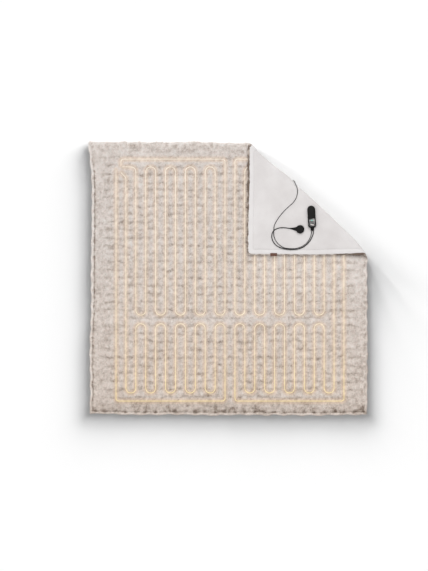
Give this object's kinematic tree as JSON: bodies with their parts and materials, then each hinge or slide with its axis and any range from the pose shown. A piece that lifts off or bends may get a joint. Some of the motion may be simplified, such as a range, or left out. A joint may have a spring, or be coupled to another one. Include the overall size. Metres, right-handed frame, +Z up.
{
  "type": "electric heated blanket",
  "caption": "Soft faux-fur electric throw spread flat with one corner folded over, its heating wires glowing through the pile, with a wired hand control and a round connector.",
  "frame": {"origin": "centre of the spread blanket's outline, on the surface that it lies on", "axes": "+X across the blanket, towards the folded corner's side; +Y along it, towards the edge whose corner is folded over; +Z up, out of the fur"},
  "size_m": [1.506, 1.4773, 0.0564],
  "materials": {
    "greige_fur": "short brushed faux fur, matte",
    "warm_grey_velour": "smooth velour, matte with a soft sheen",
    "heating_wire": "glowing warm light, cream to golden",
    "brown_tape": "woven tape",
    "gland_grey": "matte",
    "lead_grey": "satin",
    "lead_black": "satin",
    "satin_black": "satin",
    "gloss_black": "gloss",
    "white_lamp": "gloss, lit",
    "teal_lamp": "gloss, lit",
    "pale_key": "satin"
  },
  "bodies": {
    "root": {"fur_panel": "greige_fur", "backing_panel": "warm_grey_velour", "wire_upper_left": "heating_wire", "wire_lower_left": "heating_wire", "wire_upper_right": "heating_wire", "wire_lower_right": "heating_wire", "side_label": "brown_tape", "lead_gland": "gland_grey", "blanket_lead": "lead_grey", "power_lead": "lead_black", "handset_shell": "satin_black", "handset_panel": "gloss_black", "handset_lamp_1": "white_lamp", "handset_lamp_2": "teal_lamp", "handset_lamp_3": "white_lamp", "handset_key": "pale_key", "handset_boot": "satin_black", "connector_disc": "satin_black", "connector_boot": "satin_black"}
  },
  "joints": []
}
